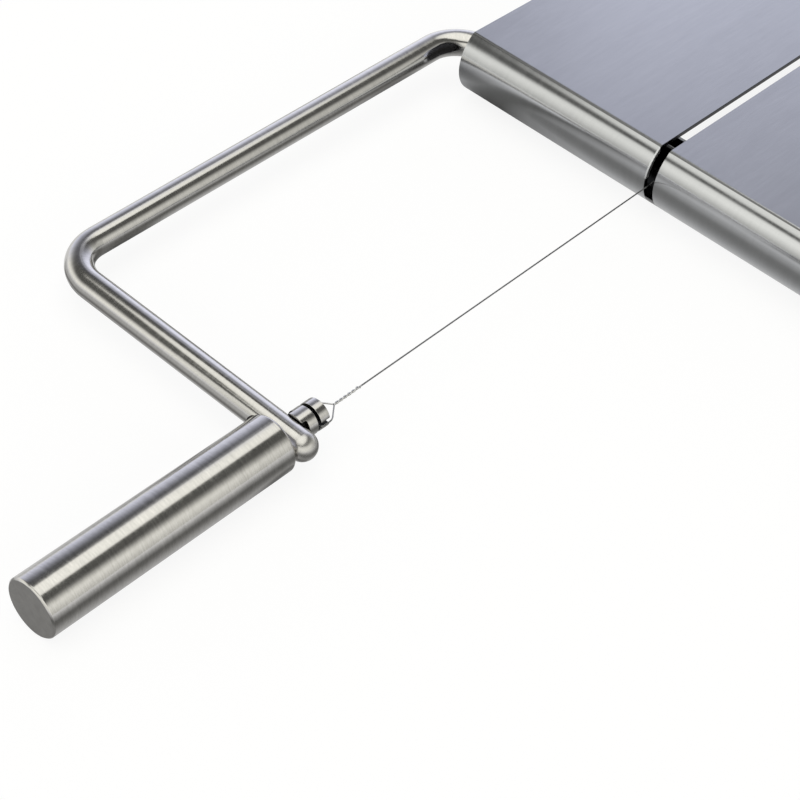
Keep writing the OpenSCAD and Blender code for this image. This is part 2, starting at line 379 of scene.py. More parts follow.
# Painted reflections: the glow that reflections see is lowered near each bar, which paints dark bands into
# the steel's undersides
def glow_by(tree, place, start, end, side, glow_at):
    """Output with the glow painted on the table for reflections: less near the bar, on one side of it."""
    middle = ((start[0] + end[0]) / 2, (start[1] + end[1]) / 2, 0)
    half = ((end[0] - start[0]) / 2, (end[1] - start[1]) / 2, 0)
    centred = vector_maths(tree, "SUBTRACT", place, middle)
    beyond = vector_maths(tree, "SUBTRACT", vector_maths(tree, "ABSOLUTE", centred), half)
    distance = vector_maths(tree, "LENGTH", vector_maths(tree, "MAXIMUM", beyond, (0, 0, 0)))
    reach = maths(tree, "DIVIDE", distance, GLOW_REACH)
    glow_there = grey_curve(tree, reach, [(far * MM / GLOW_REACH, value) for far, value in glow_at])
    aside = vector_maths(tree, "DOT_PRODUCT", centred, (*side, 0))
    return mix(tree, map_range(tree, aside, -SIDE_SOFT, 0.0), GLOW_SEEN, glow_there)


paper = bpy.data.materials.new("white_paper")
paper.use_nodes = True
table = paper.node_tree
table.nodes.clear()
table_place = object_place(table)
mirrored = glow_by(table, table_place, *glow_bars[0])
for bar in glow_bars[1:]:
    mirrored = maths(table, "MINIMUM", mirrored, glow_by(table, table_place, *bar))
ray = add_node(table, "ShaderNodeLightPath").outputs
bounced = maths(table, "MAXIMUM", ray["Is Glossy Ray"], ray["Is Transmission Ray"])
bounced_glow = maths(table, "MULTIPLY", bounced, mirrored)
seen_glow = maths(table, "MULTIPLY", ray["Is Camera Ray"], GLOW_SEEN)
either = maths(table, "MAXIMUM", seen_glow, bounced_glow)
matt = add_node(table, "ShaderNodeBsdfDiffuse", {"Color": FLOOR_COLOUR})
glow = add_node(table, "ShaderNodeEmission", {"Color": (1, 1, 1, 1), "Strength": either})
both = add_node(table, "ShaderNodeAddShader", {0: matt.outputs[0], 1: glow.outputs[0]})
add_node(table, "ShaderNodeOutputMaterial", {"Surface": both.outputs[0]})
print("paper nodes:", len(table.nodes))

# %% The table itself
floor_mesh = bpy.data.meshes.new("floor")
corners = [(x * FLOOR_HALF, y * FLOOR_HALF, 0) for x, y in ((-1, -1), (1, -1), (1, 1), (-1, 1))]
floor_mesh.from_pydata(corners, [], [(0, 1, 2, 3)])
floor_mesh.materials.append(paper)
floor = bpy.data.objects.new("floor", floor_mesh)
scene.collection.objects.link(floor)
print("floor is", 2 * FLOOR_HALF, "m square")

# %% [markdown]
# ## Brushed grain, one group for every steel
# Each steel part was rubbed with abrasive in one direction, which leaves fine scratches along that
# direction and cloudy patches where the belt pressed harder. A picture of scratches would need its own
# unwrapping. Noise that is squeezed across the scratches and stretched along them gives the same look
# at any distance, so one group makes it, and each steel feeds it its own stretched coordinates.

# %% Grain group
# Each noise is (scale, detail, roughness)
HAIR = (1.0, 4.0, 0.7)
STREAK = (0.23, 2.0, 0.5)
CLOUD = (90.0, 3.0, 0.55)
STREAK_SHARE = 0.35
MIDDLE_GREY = 0.5


def add_sockets(tree, in_out, kind, *names):
    """Named inputs or outputs of one kind for a tree or a group."""
    for name in names:
        tree.interface.new_socket(name, in_out=in_out, socket_type="NodeSocket" + kind)


def make_grain_group():
    """Group: stretched coordinates in; tone, roughness and height out."""
    group = bpy.data.node_groups.new("brushed_grain", "ShaderNodeTree")
    add_sockets(group, "INPUT", "Vector", "Vector")
    add_sockets(group, "INPUT", "Float", "Roughness", "Roughness spread", "Tone spread", "Clouds")
    add_sockets(group, "OUTPUT", "Float", "Tone", "Roughness", "Height")
    given = add_node(group, "NodeGroupInput").outputs
    hair = noise(group, given["Vector"], *HAIR)
    streak = noise(group, given["Vector"], *STREAK)
    cloud = maths(group, "SUBTRACT", noise(group, object_place(group), *CLOUD), MIDDLE_GREY)
    height = mix(group, STREAK_SHARE, hair, streak)
    grain = maths(group, "SUBTRACT", height, MIDDLE_GREY)
    tone = maths(group, "MULTIPLY_ADD", grain, given["Tone spread"], 1.0)
    tone = maths(group, "MULTIPLY_ADD", cloud, given["Clouds"], tone)
    rough = maths(group, "MULTIPLY_ADD", grain, given["Roughness spread"], given["Roughness"])
    rough = maths(group, "MULTIPLY_ADD", cloud, given["Clouds"], rough)
    add_node(group, "NodeGroupOutput", {"Tone": tone, "Roughness": rough, "Height": height})
    return group


grain_group = make_grain_group()
print("grain group sockets:", [item.name for item in grain_group.interface.items_tree])

# %% [markdown]
# ## Brushed steels
# The sheet, the rod and the turned parts are the same kind of steel with a different rub. On the sheet
# the scratches run from roll to roll and on round the roll. On the turned parts they run round the
# axis. A Mapping node stretches the coordinates for each: fine across the scratches, coarse along. The
# rod bends, so it can't use straight coordinates: its tree stores how far along and round each point is.
# Some steels also have light or shade painted into their colour in places, and a mask says where:
# painted shade on the sheet's fold line, its cut walls and inside the rolls, and a painted highlight on
# the slot's filed left edge where the wire leaves it, which is also rougher; painted shade on the rod's
# pivot inside the roll, whose round end is only rougher; painted shade in the stud's groove and saddle;
# and painted highlights on the wire's twist and on its run near the slot.

# %% Steel maker
FINE = 1100
COARSE = 110
SPECKLE = 2200
ROUND = 380
CLOUDS = 0.06
GRAIN_DEPTH = 5e-6


def turned_to_arm(tree, place):
    """Output with a place, turned by the arm's lean so that Y runs along the arm."""
    return add_node(tree, "ShaderNodeMapping", {"Vector": place, "Rotation": (-LEAN, 0, 0)}).outputs[0]


def arm_place(tree):
    """Output with object coordinates, turned by the arm's lean."""
    return turned_to_arm(tree, object_place(tree))


def rod_place(tree):
    """Output with the place that the rod's tree stored: round the rod in X and Y, along it in Z."""
    around = add_node(tree, "ShaderNodeAttribute", attribute_name="around")
    along = add_node(tree, "ShaderNodeAttribute", attribute_name="along")
    return vector_maths(tree, "ADD", around.outputs["Vector"], along.outputs["Vector"])


def brushed_steel(
    name, colour, stretch, roughness, place=object_place, mask=None, spread=0.22, tone=0.32, depth=GRAIN_DEPTH
):
    """Satin steel. stretch is waves of grain in a metre; mask is (maker of two outputs, darker, rougher)."""
    material = bpy.data.materials.new(name)
    material.use_nodes = True
    tree = material.node_tree
    tree.nodes.clear()
    squeezed = add_node(tree, "ShaderNodeMapping", {"Vector": place(tree), "Scale": stretch})
    grain = add_node(tree, "ShaderNodeGroup", node_tree=grain_group)
    fill(grain, {"Vector": squeezed.outputs[0], "Roughness": roughness, "Roughness spread": spread})
    fill(grain, {"Tone spread": tone, "Clouds": CLOUDS})
    tone_here = grain.outputs["Tone"]
    rough_here = grain.outputs["Roughness"]
    if mask:
        # The mask paints shade into the colour where darker is above 0, and a highlight where it is below 0
        make_mask, darker, rougher = mask
        dark_mask, rough_mask = make_mask(tree)
        keep = maths(tree, "MULTIPLY_ADD", dark_mask, -darker, 1.0)
        tone_here = maths(tree, "MULTIPLY", keep, tone_here)
        rough_here = maths(tree, "MULTIPLY_ADD", rough_mask, rougher, rough_here)
    bump = add_node(tree, "ShaderNodeBump", {"Strength": 1.0, "Distance": depth})
    fill(bump, {"Height": grain.outputs["Height"]})
    shader = add_node(tree, "ShaderNodeBsdfPrincipled", {"Metallic": 1.0, "Roughness": rough_here})
    fill(shader, {"Base Color": scaled(tree, colour, tone_here), "Normal": bump.outputs[0]})
    add_node(tree, "ShaderNodeOutputMaterial", {"Surface": shader.outputs[0]})
    return material


print("steel maker ready, lean", round(math.degrees(LEAN), 2))

# %% Mask of the board: painted shade and a painted highlight
BOARD_MIDDLE = (board_low[1] + board_high[1]) / 2
# How far the crease of each roll lies from the board's middle. Its line of painted shade is in millimetres
# from there
FOLD = 62.5 * MM
FOLD_SHADE_LINE = ((-0.1, 0.0), (0.0, 1.0), (0.38, 1.0), (0.5, 0.0))
FOLD_WINDOW = 2.0
SLOT_HALF = 1.5 * MM
WALL_SHADE = 1.2
# Painted shade on the slot's cut walls, which reaches a little over the slot's left edge
WALL_ASIDE = (-SLOT_HALF - 0.19 * MM, SLOT_HALF + 0.02 * MM)
# The wire is pulled out past the slot's left wall, which was filed there, from the crease down: it is
# rougher, with a painted highlight
FILED_ASIDE = (-SLOT_HALF - 0.5 * MM, -SLOT_HALF + 0.05 * MM)
FILED_ALONG = (FOLD + 0.6 * MM, FOLD + 6.0 * MM)
FILED_HEIGHTS = (13.4 * MM, 23.0 * MM)
FILED_HIGHLIGHT = -0.7
FILED_ROUGH = 7.0
ROLL_INSIDE = 11.5 * MM
BELOW_SHEET = 22.2 * MM


def board_mask(tree):
    """Painted shade: 1 on the fold line, the slot's cut walls and inside the rolls; below 0, a painted
    highlight, where it was filed.
    """
    parts = split(tree, object_place(tree))
    aside = maths(tree, "ABSOLUTE", maths(tree, "SUBTRACT", parts["Y"], BOARD_MIDDLE))
    window = map_range(tree, aside, FOLD - FOLD_WINDOW * MM, FOLD + FOLD_WINDOW * MM)
    fold = [((at + FOLD_WINDOW) / (2 * FOLD_WINDOW), value) for at, value in FOLD_SHADE_LINE]
    section = add_node(tree, "ShaderNodeCombineXYZ", {"Y": aside, "Z": parts["Z"]}).outputs[0]
    roll_middle = (0, BOARD_MIDDLE - hinge_axis.y, hinge_axis.z)
    in_round = within(tree, vector_maths(tree, "DISTANCE", section, roll_middle), 0.0, ROLL_INSIDE)
    in_roll = maths(tree, "MULTIPLY", in_round, within(tree, parts["Z"], 0.0, BELOW_SHEET))
    from_slot = maths(tree, "SUBTRACT", parts["X"], hinge_axis.x)
    # Painted shade inside the rolls and on the slot's cut walls
    darkest = maths(tree, "MAXIMUM", in_roll, within(tree, from_slot, *WALL_ASIDE))
    darkest = maths(tree, "MULTIPLY", darkest, WALL_SHADE)
    dark = maths(tree, "MAXIMUM", grey_curve(tree, window, fold), darkest)
    # Painted highlight on the filed edge, which is also made rougher
    filed = maths(tree, "MULTIPLY", within(tree, from_slot, *FILED_ASIDE), within(tree, aside, *FILED_ALONG))
    filed = maths(tree, "MULTIPLY", filed, within(tree, parts["Z"], *FILED_HEIGHTS))
    return mix(tree, filed, dark, FILED_HIGHLIGHT), mix(tree, filed, dark, FILED_ROUGH)


print("board's middle at y", round(BOARD_MIDDLE, 4))

# %% Mask of the rod: painted shade on the pivot
BEND_R = 12.0 * MM
HINGE_STATION = 153.4 * MM
PIVOT_TIP = 20.5 * MM
ARM_SIDE = -83.5 * MM
BALL_MIDDLE = 5.4 * MM
BALL_R = 4.0 * MM
PIVOT_REACH = 27.0 * MM
# Each bend cuts its corner, so the rod is shorter than its legs together
CUT_CORNER = (2 - math.pi / 2) * BEND_R
rod_legs = (PIVOT_TIP - ARM_SIDE, HINGE_STATION, BALL_MIDDLE + BALL_R - ARM_SIDE)
ROD_LENGTH = sum(rod_legs) - 2 * CUT_CORNER
BALL_BLEND = (ROD_LENGTH - 1.3 * BALL_R, ROD_LENGTH - 0.8 * BALL_R)


def rod_mask(tree):
    """Painted shade on the pivot inside the roll; rough on the rod's round end."""
    along = split(tree, rod_place(tree))["Z"]
    return within(tree, along, 0.0, PIVOT_REACH), map_range(tree, along, *BALL_BLEND)


print("rod length", round(ROD_LENGTH / MM, 1), "mm")

# %% Mask of the stud: painted shade in its groove and saddle
SADDLE_FLOOR = 4.35 * MM
SADDLE_HALF = 3.33 * MM
GROOVE_TOP = 3.7 * MM
GROOVE_SOFT = 0.2 * MM
GROOVE_ENDS = (7.0 * MM, 10.85 * MM)


def stud_mask(tree):
    """Painted shade: 1 in the stud's groove and inside the saddle that straddles the rod."""
    from_foot = turned_to_arm(tree, vector_maths(tree, "SUBTRACT", object_place(tree), stud_foot))
    parts = split(tree, from_foot)
    radius = vector_maths(tree, "LENGTH", vector_maths(tree, "MULTIPLY", from_foot, (1, 0, 1)))
    deep = map_range(tree, radius, GROOVE_TOP + GROOVE_SOFT, GROOVE_TOP)
    in_groove = maths(tree, "MULTIPLY", within(tree, parts["Y"], *GROOVE_ENDS), deep)
    in_length = within(tree, parts["Y"], 0.0, SADDLE_FLOOR)
    in_saddle = maths(tree, "MULTIPLY", in_length, within(tree, parts["Z"], -SADDLE_HALF, SADDLE_HALF))
    either = maths(tree, "MAXIMUM", in_groove, in_saddle)
    return either, either


print("dark groove from", GROOVE_ENDS[0], "to", GROOVE_ENDS[1], "m along the stud")

# %% Mask of the wire: painted highlights
TWIST_REACH = (11.2 * MM, 25.2 * MM)
SLOT_GLINT_REACH = (141.0 * MM, 160.0 * MM)


def wire_mask(tree):
    """Painted highlight: 1 on the twist and on the run near the slot, which are painted brighter than the
    rest of the wire.
    """
    station = vector_maths(tree, "DOT_PRODUCT", object_place(tree), along_arm)
    foot = along_arm.dot(stud_foot)
    reaches = [within(tree, station, foot + low, foot + high) for low, high in (TWIST_REACH, SLOT_GLINT_REACH)]
    bright = maths(tree, "MAXIMUM", *reaches)
    return bright, bright


print("bright from", TWIST_REACH[0], "to", TWIST_REACH[1], "m along the wire, and near the slot")

# %% The steels
SHEET_COLOUR = (0.585, 0.595, 0.612)
BAR_COLOUR = (0.60, 0.59, 0.575)
WASHER_COLOUR = (0.62, 0.62, 0.62)
RING_COLOUR = (0.10, 0.10, 0.11)
WIRE_COLOUR = (0.24, 0.24, 0.24)
ALL_WAYS = (FINE, FINE, FINE)
# Each steel's mask paints shade into its colour where the darkening is above 0, and highlights where it is
# below 0
sheet_rub = {
    "roughness": 0.13,
    "mask": (board_mask, 0.78, 0.05),
    "spread": 0.15,
    "tone": 0.2,
    "depth": 3e-6,
}
rod_rub = {"roughness": 0.14, "place": rod_place, "mask": (rod_mask, 0.93, 0.14), "tone": 0.55}
turned_rub = {"roughness": 0.15, "place": arm_place, "mask": (stud_mask, 0.93, 0.3), "tone": 0.7}
# The wire's darkening below 0 paints highlights on its twist and on its run near the slot
wire_rub = {"roughness": 0.22, "place": arm_place, "mask": (wire_mask, -1.6, 0)}
brushed_steel("sheet_steel", SHEET_COLOUR, (FINE, COARSE, COARSE), **sheet_rub)
rod_steel = brushed_steel("rod_steel", BAR_COLOUR, (ROUND, ROUND, SPECKLE), **rod_rub)
brushed_steel("turned_steel", BAR_COLOUR, (ROUND, SPECKLE, ROUND), **turned_rub)
brushed_steel("washer_steel", WASHER_COLOUR, ALL_WAYS, roughness=0.35)
brushed_steel("spring_steel", RING_COLOUR, ALL_WAYS, roughness=0.40)
wire_steel = brushed_steel("wire_steel", WIRE_COLOUR, ALL_WAYS, **wire_rub)
print("steels:", [m.name for m in bpy.data.materials if m.name.endswith("steel")])

# %% [markdown]
# ## Dark plastic
# The bushes and plugs inside the rolls are moulded in dark plastic. Only their end faces can be seen,
# so a matt black with a faint moulded texture is all they need.

# %% Plastic
SKIN = (2500.0, 3.0, 0.5)
SKIN_STRENGTH = 0.6
SKIN_DEPTH = 2e-5
PLASTIC_COLOUR = (0.035, 0.035, 0.04)
PLASTIC_TONES = (0.8, 1.2)
PLASTIC_ROUGHNESS = (0.5, 0.7)


def moulded_plastic(name, colour):
    """Matt moulded plastic with a fine uneven skin."""
    material = bpy.data.materials.new(name)
    material.use_nodes = True
    tree = material.node_tree
    skin = noise(tree, object_place(tree), *SKIN)
    relief = {"Height": skin, "Strength": SKIN_STRENGTH, "Distance": SKIN_DEPTH}
    bump = add_node(tree, "ShaderNodeBump", relief)
    values = {
        "Base Color": scaled(tree, colour, map_range(tree, skin, 0.0, 1.0, *PLASTIC_TONES)),
        "Roughness": map_range(tree, skin, 0.0, 1.0, *PLASTIC_ROUGHNESS),
        "Normal": bump.outputs[0],
    }
    fill(tree.nodes["Principled BSDF"], values)
    return material


moulded_plastic("bush_plastic", PLASTIC_COLOUR)
print("plastic ready")

# %% [markdown]
# ## Finishes on the CAD pieces
# The record names a finish for each piece. Every CAD piece takes the material of that name, so the
# hidden parts inside the rolls are finished too, and show it through the slot and the roll's ends.

# %% Assign the finishes
finish_of = {part["node"]: part["material_slot"] for part in frame["record"]["subparts"]}
for node_name, node in frame["nodes"].items():
    node.data.materials.append(bpy.data.materials[finish_of[node_name]])
print({name: finish_of[name] for name in frame["nodes"]})

# %% [markdown]
# ## Soft edges on the cut and turned pieces
# No real edge is perfectly sharp: sheet is deburred after it is cut, and a turned edge gets a touch of
# the file. That thin rounding catches a line of light, and without it steel looks like paper. The CAD
# mesh is loose triangles, so a copy is welded, its flat triangles are joined into whole faces, and a
# Bevel modifier rounds each edge that turns sharply. Where the wire leaves the slot the edge was filed
# rounder, so that it doesn't nick the wire, and gets a wider rounding by its bevel weight. Weighted
# normals keep flat faces flat.

# %% Soften
WELD = 1e-7
FLAT = math.radians(0.2)
SHARP = math.radians(32)
ROUNDING_STEPS = 2
WIDE_ROUNDING_STEPS = 3


def finished_piece(name, rough):
    """Plain object with the mesh that an object's modifiers make, in place of that object."""
    depsgraph = bpy.context.evaluated_depsgraph_get()
    made = bpy.data.meshes.new_from_object(rough.evaluated_get(depsgraph), depsgraph=depsgraph)
    made.name = name
    piece = bpy.data.objects.new(name, made)
    scene.collection.objects.link(piece)
    bpy.data.objects.remove(rough)
    return piece


def softened(node_name, piece_name, width, widest=None, is_wide=None):
    """Welded copy of a CAD piece with its sharp edges rounded, which stands for that piece."""
    widest = widest or width
    node = frame["nodes"][node_name]
    mesh = node.data.copy()
    for attribute in [a.name for a in mesh.attributes if a.name == "custom_normal"]:
        mesh.attributes.remove(mesh.attributes[attribute])
    work = bmesh.new()
    work.from_mesh(mesh)
    bmesh.ops.remove_doubles(work, verts=work.verts, dist=WELD)
    bmesh.ops.dissolve_limit(work, angle_limit=FLAT, verts=work.verts, edges=work.edges)
    left_open = sum(not edge.is_manifold for edge in work.edges)
    weight = work.edges.layers.float.new("bevel_weight_edge")
    for edge in work.edges:
        if edge.is_manifold and edge.calc_face_angle() > SHARP:
            middle = (edge.verts[0].co + edge.verts[1].co) / 2
            edge[weight] = 1.0 if is_wide and is_wide(middle) else width / widest
    for face in work.faces:
        face.smooth = True
    work.to_mesh(mesh)
    work.free()
    rough = bpy.data.objects.new(piece_name + "_rough", mesh)
    scene.collection.objects.link(rough)
    bevel = rough.modifiers.new("edges", "BEVEL")
    bevel.width = widest
    bevel.segments = WIDE_ROUNDING_STEPS if is_wide else ROUNDING_STEPS
    bevel.limit_method = "WEIGHT"
    bevel.use_clamp_overlap = True
    rough.modifiers.new("flat_faces", "WEIGHTED_NORMAL").keep_sharp = True
    piece = finished_piece(piece_name, rough)
    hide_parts(node_name)
    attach(piece, node["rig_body"])
    print(piece_name, "faces", len(piece.data.polygons), "open edges before rounding", left_open)
    return piece


print("edges that turn more than", round(math.degrees(SHARP)), "degrees are rounded")

# %% The board, the stud and the handle
SHEET_EDGE = 0.2 * MM
FILED_EDGE = 0.65 * MM
STUD_EDGE = 0.12 * MM
HANDLE_EDGE = 0.10 * MM
NEAR_WALL = 0.01 * MM
ROLL_OUTSIDE = 12.0 * MM


def filed_round(point):
    """Whether a point lies on the outer edge of the slot's left wall, on the roll above the wire."""
    on_wall = abs(point.x - hinge_axis.x + SLOT_HALF) < NEAR_WALL
    on_roll = abs(point.y - BOARD_MIDDLE) > FOLD and FILED_HEIGHTS[0] < point.z < FILED_HEIGHTS[1]
    return on_wall and on_roll and math.hypot(point.y - hinge_axis.y, point.z - hinge_axis.z) > ROLL_OUTSIDE


softened("board", "rolled_board", SHEET_EDGE, FILED_EDGE, filed_round)
softened("tension_stud", "turned_stud", STUD_EDGE)
softened("handle", "turned_handle", HANDLE_EDGE)

# %% [markdown]
# ## The bent rod
# The real arm is one straight bar of round stock, bent twice round a roller and rounded at its free
# end. That is a rule: a round section that follows a path. So the seed is only the path's corners, and
# Geometry Nodes bend the corners, sweep the section and drill the holes. The path's points also carry
# their own thickness, which turns the ring's groove and the round end. A bent cylinder in mesh code
# would work too, but this way the tree can store how far along and round the rod each point lies.


# %% Run a tree once
def run_tree(name, seed_mesh, tree, values):
    """Object whose mesh is what the tree makes of seed_mesh, with the modifier gone again."""
    seed = bpy.data.objects.new(name + "_seed", seed_mesh)
    scene.collection.objects.link(seed)
    modifier = seed.modifiers.new("shape", "NODES")
    modifier.node_group = tree
    for item in tree.interface.items_tree:
        if item.in_out == "INPUT" and item.name in values:
            modifier[item.identifier] = values[item.name]
    return finished_piece(name, seed)


def path_mesh(name, points):
    """Mesh of edges that joins the points in their order."""
    mesh = bpy.data.meshes.new(name)
    mesh.from_pydata(points, [(step, step + 1) for step in range(len(points) - 1)], [])
    return mesh


def start_tree(name, sizes, places):
    """New geometry tree and its inputs: a Geometry, a Material, and named sizes and places."""
    tree = bpy.data.node_groups.new(name, "GeometryNodeTree")
    add_sockets(tree, "INPUT", "Geometry", "Geometry")
    add_sockets(tree, "INPUT", "Float", *sizes)
    add_sockets(tree, "INPUT", "Vector", *places)
    add_sockets(tree, "INPUT", "Material", "Material")
    add_sockets(tree, "OUTPUT", "Geometry", "Geometry")
    return tree, add_node(tree, "NodeGroupInput").outputs


def end_tree(tree, geometry, material):
    """Ends a tree: the mesh is made real and takes its material."""
    real = add_node(tree, "GeometryNodeRealizeInstances", {0: geometry})
    paint = add_node(tree, "GeometryNodeSetMaterial", {"Geometry": real.outputs[0], "Material": material})
    add_node(tree, "NodeGroupOutput", {0: paint.outputs[0]})


print("tree runner ready")

# %% The rod's path
TIP_CHAMFER = 0.3 * MM
RING_GROOVE = (16.55 * MM, 17.45 * MM)
RING_R = 3.3 * MM
STEP = 0.01 * MM
BALL_STEPS = 12
# The round end stops just short of a point, so that its last section still has a size
BALL_LAST = 0.995


def rod_points():
    """(point, bend radius, thickness as a share of the rod's) from the pivot's tip to the round end."""
    groove_start, groove_end = RING_GROOVE
    pivot = [
        (PIVOT_TIP, (ROD_R - TIP_CHAMFER) / ROD_R),
        (PIVOT_TIP - TIP_CHAMFER, 1.0),
        (groove_end, 1.0),
        (groove_end - STEP, RING_R / ROD_R),
        (groove_start + STEP, RING_R / ROD_R),
        (groove_start, 1.0),
    ]
    path = [(on_stud(HINGE_STATION, aside), 0.0, thickness) for aside, thickness in pivot]
    path += [(on_stud(HINGE_STATION, ARM_SIDE), BEND_R, 1.0), (on_stud(0, ARM_SIDE), BEND_R, 1.0)]
    for step in range(BALL_STEPS + 1):
        angle = math.pi / 2 * min(step / BALL_STEPS, BALL_LAST)
        path.append((on_stud(0, BALL_MIDDLE + BALL_R * math.sin(angle)), 0.0, math.cos(angle)))
    return path


rod_stops = rod_points()
rod_path = path_mesh("rod_path", [point for point, _, _ in rod_stops])
for attribute_name, column in (("bend", 1), ("thickness", 2)):
    attribute = rod_path.attributes.new(attribute_name, "FLOAT", "POINT")
    attribute.data.foreach_set("value", [stop[column] for stop in rod_stops])
print("rod path points:", len(rod_stops))

# %% Rod tree
ROD_SIDES = 48
HOLE_SIDES = 32
BEND_POINTS = 20
SMOOTH_BELOW = math.radians(34)


def cutter(tree, given, radius, depth, place):
    """Cylinder along the arm, from named inputs, that is cut away from the rod."""
    sizes = {"Vertices": HOLE_SIDES, "Radius": given[radius], "Depth": given[depth]}
    drill = add_node(tree, "GeometryNodeMeshCylinder", sizes).outputs["Mesh"]
    where = {"Geometry": drill, "Translation": given[place], "Rotation": given["Arm rotation"]}
    return add_node(tree, "GeometryNodeTransform", where).outputs[0]


def stored(tree, name):
    """Output with a number that the path's points carry."""
    values = {"Name": name}
    return add_node(tree, "GeometryNodeInputNamedAttribute", values, data_type="FLOAT").outputs["Attribute"]


def store(tree, curve, name, vector):
    """Output with a curve whose points carry a vector under that name."""
    kind = {"data_type": "FLOAT_VECTOR", "domain": "POINT"}
    values = {"Geometry": curve, "Name": name, "Value": vector}
    return add_node(tree, "GeometryNodeStoreNamedAttribute", values, **kind).outputs[0]


def make_rod_tree():
    """Tree: the path's corners come in, the bent and drilled rod goes out."""
    sizes = ("Rod radius", "Stud hole radius", "Wire hole radius", "Flat radius", "Through", "Flat depth")
    tree, given = start_tree("bent_rod", sizes, ("Stud hole", "Wire hole", "Ferrule flat", "Arm rotation"))
    path = add_node(tree, "GeometryNodeMeshToCurve", {0: given["Geometry"]}).outputs[0]
    bends = {"Curve": path, "Radius": stored(tree, "bend"), "Count": BEND_POINTS}
    bent = add_node(tree, "GeometryNodeFilletCurve", bends, mode="POLY").outputs[0]
    run = add_node(tree, "GeometryNodeSplineParameter").outputs["Length"]
    run_vector = add_node(tree, "ShaderNodeCombineXYZ", {"Z": run}).outputs[0]
    circle = {"Resolution": ROD_SIDES, "Radius": given["Rod radius"]}
    section = add_node(tree, "GeometryNodeCurvePrimitiveCircle", circle).outputs["Curve"]
    place = add_node(tree, "GeometryNodeInputPosition").outputs[0]
    curves = {"Curve": store(tree, bent, "along", run_vector), "Scale": stored(tree, "thickness")}
    sweep = add_node(tree, "GeometryNodeCurveToMesh", curves)
    fill(sweep, {"Profile Curve": store(tree, section, "around", place), "Fill Caps": True})
    drilled = add_node(tree, "GeometryNodeMeshBoolean", operation="DIFFERENCE", solver="EXACT")
    fill(drilled, {"Mesh 1": sweep.outputs[0]})
    fill(drilled, {"Mesh 2": cutter(tree, given, "Stud hole radius", "Through", "Stud hole")})
    fill(drilled, {"Mesh 2": cutter(tree, given, "Wire hole radius", "Through", "Wire hole")})
    fill(drilled, {"Mesh 2": cutter(tree, given, "Flat radius", "Flat depth", "Ferrule flat")})
    turn = add_node(tree, "GeometryNodeInputMeshEdgeAngle").outputs["Unsigned Angle"]
    soft = {"Geometry": drilled.outputs["Mesh"], "Shade Smooth": maths(tree, "LESS_THAN", turn, SMOOTH_BELOW)}
    smooth = add_node(tree, "GeometryNodeSetShadeSmooth", soft, domain="EDGE")
    end_tree(tree, smooth.outputs[0], given["Material"])
    return tree


rod_tree = make_rod_tree()
print("rod tree nodes:", len(rod_tree.nodes))

# %% The rod
HOLE_PAST = 0.5 * MM
FLAT_UP = 3.7 * MM
rod_values = {
    "Rod radius": ROD_R,
    "Stud hole radius": 2.55 * MM,
    "Wire hole radius": 0.25 * MM,
    "Flat radius": 1.5 * MM,
    "Through": 2 * (ROD_R + HOLE_PAST),
    "Flat depth": ROD_R,
    "Stud hole": on_stud(0),
    "Wire hole": on_stud(HINGE_STATION),
    "Ferrule flat": on_stud(HINGE_STATION + FLAT_UP + ROD_R / 2),
    "Arm rotation": (math.pi / 2 + LEAN, 0, 0),
    "Material": rod_steel,
}
bent_rod = run_tree("bent_rod", rod_path, rod_tree, rod_values)
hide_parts("arm_rod")
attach(bent_rod, "arm")


def open_edges(mesh):
    """How many edges of a mesh don't have exactly two faces."""
    work = bmesh.new()
    work.from_mesh(mesh)
    count = sum(not edge.is_manifold for edge in work.edges)
    work.free()
    return count


print("bent rod faces", len(bent_rod.data.polygons), "open edges", open_edges(bent_rod.data))

# %% [markdown]
# ## The wire and its twist
# One thin wire runs from the hinge to the stud, loops round the stud's neck and is twisted back on
# itself. In CAD it is a plain round bar with a thicker stretch. Here it is one path per stretch, and
# Geometry Nodes lay a round section along each path: the straight run, two strands that wind round
# each other, and the eye that drops into the groove.

# %% Wire sizes
WIRE_R = 0.2 * MM
TWIST_START = 15.4 * MM
TWIST_END = 24.9 * MM
TWIST_TURNS = 3.3
WIRE_END = 159.2 * MM
# The eye hangs a little to one side, because one strand of it sits tighter on the disc's rim
EYE_ASIDE = 0.8 * MM
GROOVE = 7.6 * MM
DISC_FRONT = 11.0 * MM
STUD_R = 4.0 * MM
NECK_R = 2.4 * MM
NECK_CLEAR = 0.1 * MM
# Shares of the straight side, then (station, share of the way out to the rim) from its end to the groove
STRAIGHT_SHARES = (0.0, 0.3, 0.65)
OVER_RIM = (
    (DISC_FRONT + 1.0 * MM, 0.9),
    (DISC_FRONT - 0.1 * MM, 1.0),
    (DISC_FRONT - 1.5 * MM, 1.0),
    (GROOVE + 0.5 * MM, 0.98),
)
NECK_ANGLES = [math.radians(angle) for angle in range(10, 171, 16)]


def eye_side(side):
    """One side of the eye: straight from the twist, over the disc's rim and into the groove."""
    rim = side * (STUD_R + WIRE_R)
    corner = on_stud(TWIST_START, EYE_ASIDE + side * WIRE_R)
    bend = [on_stud(station, rim * share) for station, share in OVER_RIM]
    return [corner.lerp(bend[0], share) for share in STRAIGHT_SHARES] + bend


def eye_points():
    """Middle line of the eye: along one side of it, round the stud's neck, and back along the other."""
    reach = NECK_R + WIRE_R + NECK_CLEAR
    neck = [on_stud(GROOVE, reach * math.cos(angle), -reach * math.sin(angle)) for angle in NECK_ANGLES]
    return eye_side(1) + neck + eye_side(-1)[::-1]


eye_path = path_mesh("eye_path", eye_points())
print("eye points:", len(eye_path.vertices))

# %% Wire tree
WIRE_SIDES = 14
STRAND_POINTS = 180
RUN_POINTS = 48
EYE_STEPS = 160
# The share of the twist after which a strand moves to its last place
SPREAD_FROM = 0.75


